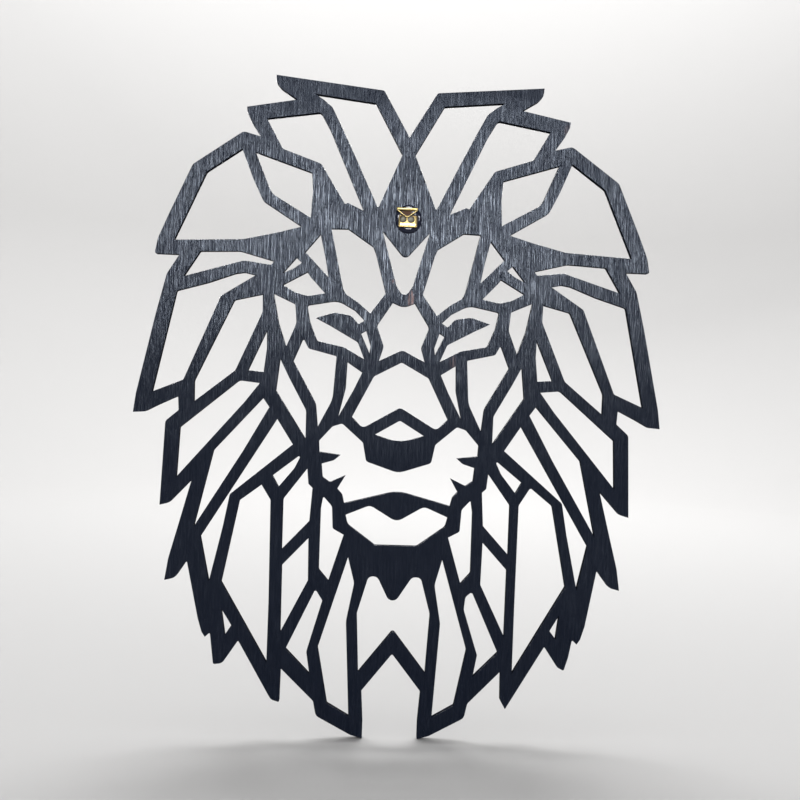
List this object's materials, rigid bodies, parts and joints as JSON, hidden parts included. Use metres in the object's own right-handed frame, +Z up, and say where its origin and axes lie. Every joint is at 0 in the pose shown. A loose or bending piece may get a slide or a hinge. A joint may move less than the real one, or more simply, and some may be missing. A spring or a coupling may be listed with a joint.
{
  "type": "lion head wall panel",
  "caption": "Flat wooden wall panel cut through into the faceted head of a lion, hung on a small bar at the back of the forehead.",
  "frame": {"origin": "middle of the underside of the hanger's top bar, where it rests on a nail or hook", "axes": "+Z up as the panel hangs, +Y out of the plain front face into the room, -Y to the wall, +X to the right seen from the wall side"},
  "size_m": [0.4016, 0.0078, 0.5004],
  "materials": {
    "stained_wood": "blue-black stain, satin",
    "brass_plate": "bright stamped plate",
    "dark_glue": "set glue, glossy"
  },
  "bodies": {
    "root": {"lion_panel": "stained_wood", "hanger": "brass_plate", "glue_pad": "dark_glue"}
  },
  "joints": []
}
